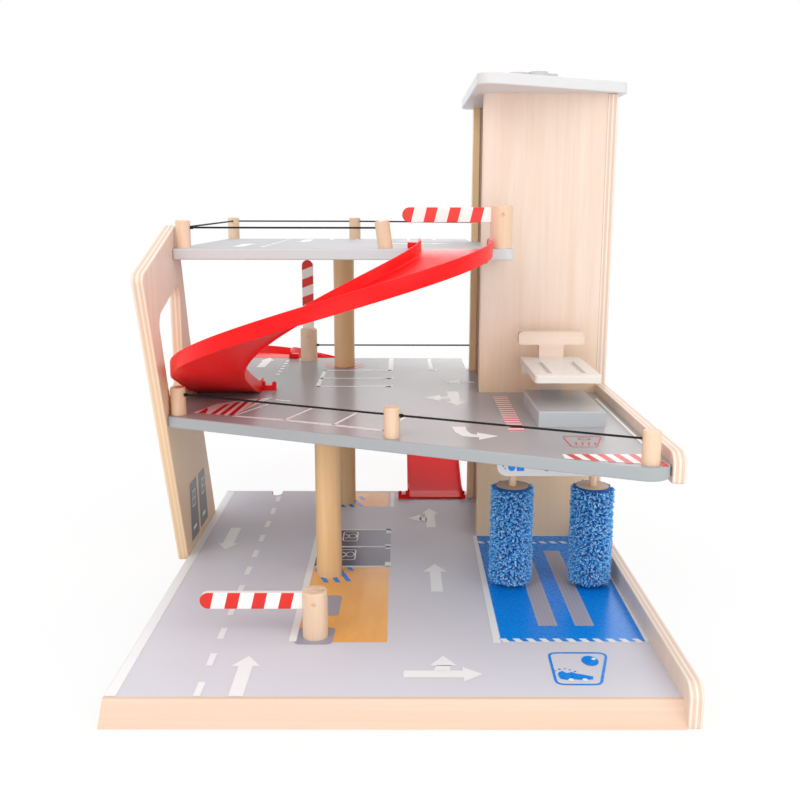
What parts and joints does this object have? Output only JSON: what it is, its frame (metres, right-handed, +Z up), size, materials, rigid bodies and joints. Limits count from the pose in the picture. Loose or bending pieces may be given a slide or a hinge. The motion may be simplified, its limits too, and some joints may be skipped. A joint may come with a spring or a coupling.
{
  "type": "toy parking garage with lift",
  "caption": "Wooden three-level toy parking garage with a cranked lift, red spiral ramps, car wash brushes, swinging barriers and a car hoist.",
  "frame": {"origin": "centre of the bounding box at the underside of the base", "axes": "-Y is the front, where toy cars drive in; +X is to the right, where the lift tower stands; +Z is up"},
  "size_m": [0.514, 0.8656, 0.575],
  "materials": {
    "plywood": "clear satin varnish over birch plywood",
    "pine": "bare sanded",
    "beech": "clear satin varnish",
    "printed_board": "printed matt fibreboard",
    "grey_board": "painted matt fibreboard",
    "white_board": "painted satin",
    "white_plastic": "gloss",
    "red_plastic": "gloss",
    "blue_microfibre": "short soft tufts",
    "elastic_cord": "woven elastic",
    "lift_string": "braided",
    "steel": "zinc plated"
  },
  "bodies": {
    "garage": {"right_side_panel": "plywood", "tower_front_panel": "plywood", "tower_back_panel": "plywood", "left_panel": "plywood", "base_front_ramp": "pine", "base_runners": "pine", "lift_guide_strips": "pine", "hoist_guide": "pine", "base_barrier_post": "beech", "mid_barrier_post": "beech", "top_barrier_post": "beech", "mid_fence_post_left": "beech", "mid_fence_post_middle": "beech", "mid_fence_post_right": "beech", "top_fence_post_front_left": "beech", "top_fence_post_back_left": "beech", "top_fence_post_back": "beech", "top_fence_post_leaning": "beech", "lower_front_column": "beech", "lower_back_column": "beech", "upper_column": "beech", "base_board": "printed_board", "mid_deck": "grey_board", "top_deck": "grey_board", "hoist_block": "grey_board", "tower_roof": "white_board", "wash_sign": "white_board", "upper_ramp": "red_plastic", "lower_ramp": "red_plastic", "fence_cord_mid_front": "elastic_cord", "fence_cord_mid_back": "elastic_cord", "fence_cord_top": "elastic_cord", "lift_cord": "lift_string", "lift_cord_lead": "lift_string", "barrier_pins": "steel", "guide_eye": "steel", "side_panel_screws": "steel", "left_panel_screws": "steel", "roof_screws": "steel"},
    "barrier_base": {"base_barrier_arm": "white_board"},
    "barrier_mid": {"mid_barrier_arm": "white_board"},
    "barrier_top": {"top_barrier_arm": "white_board"},
    "brush_left": {"brush_axle_left": "beech", "brush_core_left": "beech", "brush_pile_left": "blue_microfibre"},
    "brush_right": {"brush_axle_right": "beech", "brush_core_right": "beech", "brush_pile_right": "blue_microfibre"},
    "hoist": {"hoist_platform": "white_board", "hoist_platform_batten": "pine", "hoist_handle": "plywood"},
    "lift_car": {"lift_car_floor": "white_board", "lift_car_side_front": "white_board", "lift_car_side_back": "white_board", "lift_car_top": "white_board", "lift_hook": "steel"},
    "crank": {"crank_knob": "white_plastic", "crank_shaft": "steel", "winding_spool": "white_plastic"}
  },
  "joints": [
    {"name": "base_barrier_swing", "type": "hinge", "parent": "garage", "child": "barrier_base", "pos_m": [-0.079, -0.29978, 0.054], "axis": [0, 1, 0], "range_deg": [0, 90]},
    {"name": "mid_barrier_swing", "type": "hinge", "parent": "garage", "child": "barrier_mid", "pos_m": [-0.1305, 0.21723, 0.235], "axis": [0, 1, 0], "range_deg": [-90, 0]},
    {"name": "top_barrier_swing", "type": "hinge", "parent": "garage", "child": "barrier_top", "pos_m": [0.111, -0.08977, 0.408], "axis": [0, 1, 0], "range_deg": [0, 90]},
    {"name": "left_brush_spin", "type": "hinge", "parent": "garage", "child": "brush_left", "pos_m": [0.12, -0.17278, 0.018], "axis": [0, 0, 1], "continuous": true},
    {"name": "right_brush_spin", "type": "hinge", "parent": "garage", "child": "brush_right", "pos_m": [0.205, -0.17278, 0.018], "axis": [0, 0, 1], "continuous": true},
    {"name": "hoist_slide", "type": "slide", "parent": "garage", "child": "hoist", "axis": [0, 0, 1], "range_m": [-0.0235, 0.036]},
    {"name": "lift_slide", "type": "slide", "parent": "garage", "child": "lift_car", "axis": [0, 0, 1], "range_m": [0, 0.345], "deforming": ["lift_cord"]},
    {"name": "crank_turn", "type": "hinge", "parent": "garage", "child": "crank", "pos_m": [0.16, 0.07372, 0.554], "axis": [0, 0, -1], "range_deg": [0, 1650]}
  ],
  "couplings": [
    {"joint": "crank_turn", "follows": "lift_slide", "rad_per_m": 83.333}
  ]
}
